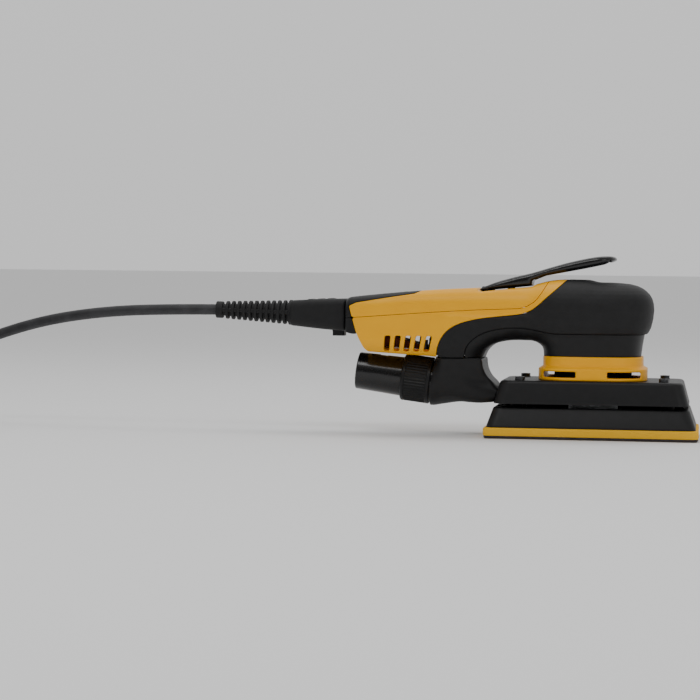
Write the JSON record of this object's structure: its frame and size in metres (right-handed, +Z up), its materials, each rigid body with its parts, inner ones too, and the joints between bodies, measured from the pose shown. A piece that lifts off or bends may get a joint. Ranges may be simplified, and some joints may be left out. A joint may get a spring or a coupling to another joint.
{
  "type": "orbital sander",
  "caption": "Low-profile electric orbital sander with a rectangular pad, looped handle, paddle lever, hose outlet and detachable mains lead.",
  "frame": {"origin": "where the spindle axis meets the sanding face", "axes": "+X towards the front of the pad, +Y to the tool's left, +Z up along the spindle"},
  "size_m": [0.6249, 0.1193, 0.1138],
  "materials": {
    "yellow_plastic": "fine moulded texture",
    "black_rubber": "soft stippled overmould",
    "black_plastic": "fine moulded texture",
    "gloss_black": "polished",
    "cord_sheath": "matt rubber sheath",
    "pad_foam": "closed-cell foam",
    "hook_fabric": "hook loops",
    "abrasive": "coated net",
    "steel": "turned",
    "screw_steel": "blackened",
    "nickel": "plated",
    "aluminium": "machined",
    "iron_core": "laminated",
    "copper": "enamelled winding",
    "magnet": "plated",
    "board": "lacquered",
    "component": "sleeved",
    "resin": "potting resin",
    "lamp": "diffusing"
  },
  "bodies": {
    "housing": {"lower_housing": "yellow_plastic", "top_cover": "yellow_plastic", "control_panel": "black_plastic", "inlet_frame": "black_plastic", "soft_grip": "black_rubber", "motor_housing": "black_plastic", "exhaust_duct": "black_plastic", "skirt": "black_plastic", "skirt_screws": "screw_steel", "vent_ring": "yellow_plastic", "lower_bearing": "steel", "upper_bearing": "steel", "stator_core": "iron_core", "stator_windings": "copper", "bearing_plate": "aluminium", "control_board": "board", "capacitors": "component", "inductor": "copper", "heat_sink": "aluminium", "inlet_filter": "resin", "trigger_sensor": "component", "keypad_board": "board", "status_light": "lamp", "power_inlet": "black_plastic", "inlet_pins": "nickel", "inlet_leads": "component", "motor_leads": "component", "lever_pin": "steel", "lever_spring": "steel", "flex_legs": "black_rubber", "housing_screws": "screw_steel"},
    "rotor": {"rotor_shaft": "steel", "rotor_core": "iron_core", "rotor_magnets": "magnet", "counterweight": "steel", "cooling_fan": "black_plastic"},
    "pad": {"abrasive_net": "abrasive", "hook_layer": "hook_fabric", "pad_foam": "pad_foam", "pad_plate": "black_plastic", "pad_hub": "aluminium", "pad_bearing": "steel", "pad_screws": "steel"},
    "lever_arm": {"lever": "gloss_black", "lever_magnet": "magnet"},
    "power_key": {"power_button": "black_rubber"},
    "minus_key": {"minus_button": "black_rubber"},
    "plus_key": {"plus_button": "black_rubber"},
    "hose_swivel": {"swivel_pipe": "black_plastic", "swivel_collar": "black_plastic"},
    "lead": {"plug_body": "black_plastic", "plug_sockets": "nickel", "strain_relief": "black_rubber", "power_cord": "cord_sheath", "cord_tail": "cord_sheath", "cord_coil": "cord_sheath", "cord_tie": "black_plastic", "mains_plug": "black_plastic", "mains_plug_pins": "nickel"},
    "latch": {"latch_button": "black_plastic"}
  },
  "joints": [
    {"name": "lever_pivot", "type": "hinge", "parent": "housing", "child": "lever_arm", "pos_m": [-0.067, 0, 0.0886], "axis": [0, 1, 0], "range_deg": [0, 6.5], "stiffness_Nm_per_rad": 2, "springref_deg": -8.59, "deforming": ["lever_spring"]},
    {"name": "power_press", "type": "slide", "parent": "housing", "child": "power_key", "axis": [0.0993, 0, -0.9951], "range_m": [0, 0.0006], "stiffness_N_per_m": 600, "springref_m": -0.0012},
    {"name": "minus_press", "type": "slide", "parent": "housing", "child": "minus_key", "axis": [0.0993, 0, -0.9951], "range_m": [0, 0.0006], "stiffness_N_per_m": 600, "springref_m": -0.0012},
    {"name": "plus_press", "type": "slide", "parent": "housing", "child": "plus_key", "axis": [0.0993, 0, -0.9951], "range_m": [0, 0.0006], "stiffness_N_per_m": 600, "springref_m": -0.0012},
    {"name": "hose_turn", "type": "hinge", "parent": "housing", "child": "hose_swivel", "pos_m": [-0.1017, 0, 0.0333], "axis": [-0.9921, 0, 0.1253], "continuous": true},
    {"name": "rotor_spin", "type": "hinge", "parent": "housing", "child": "rotor", "pos_m": [0, 0, 0.05], "axis": [0, 0, 1], "continuous": true, "deforming": ["flex_legs"]},
    {"name": "pad_orbit", "type": "hinge", "parent": "rotor", "child": "pad", "pos_m": [0, 0.0015, 0.019], "axis": [0, 0, 1], "continuous": true},
    {"name": "plug_release", "type": "slide", "parent": "housing", "child": "lead", "axis": [-1, 0, 0], "range_m": [0, 0.02]},
    {"name": "latch_press", "type": "slide", "parent": "lead", "child": "latch", "axis": [0, 0, 1], "range_m": [0, 0.0012], "stiffness_N_per_m": 800, "springref_m": -0.001}
  ],
  "couplings": [
    {"joint": "pad_orbit", "follows": "rotor_spin", "ratio": -1}
  ]
}
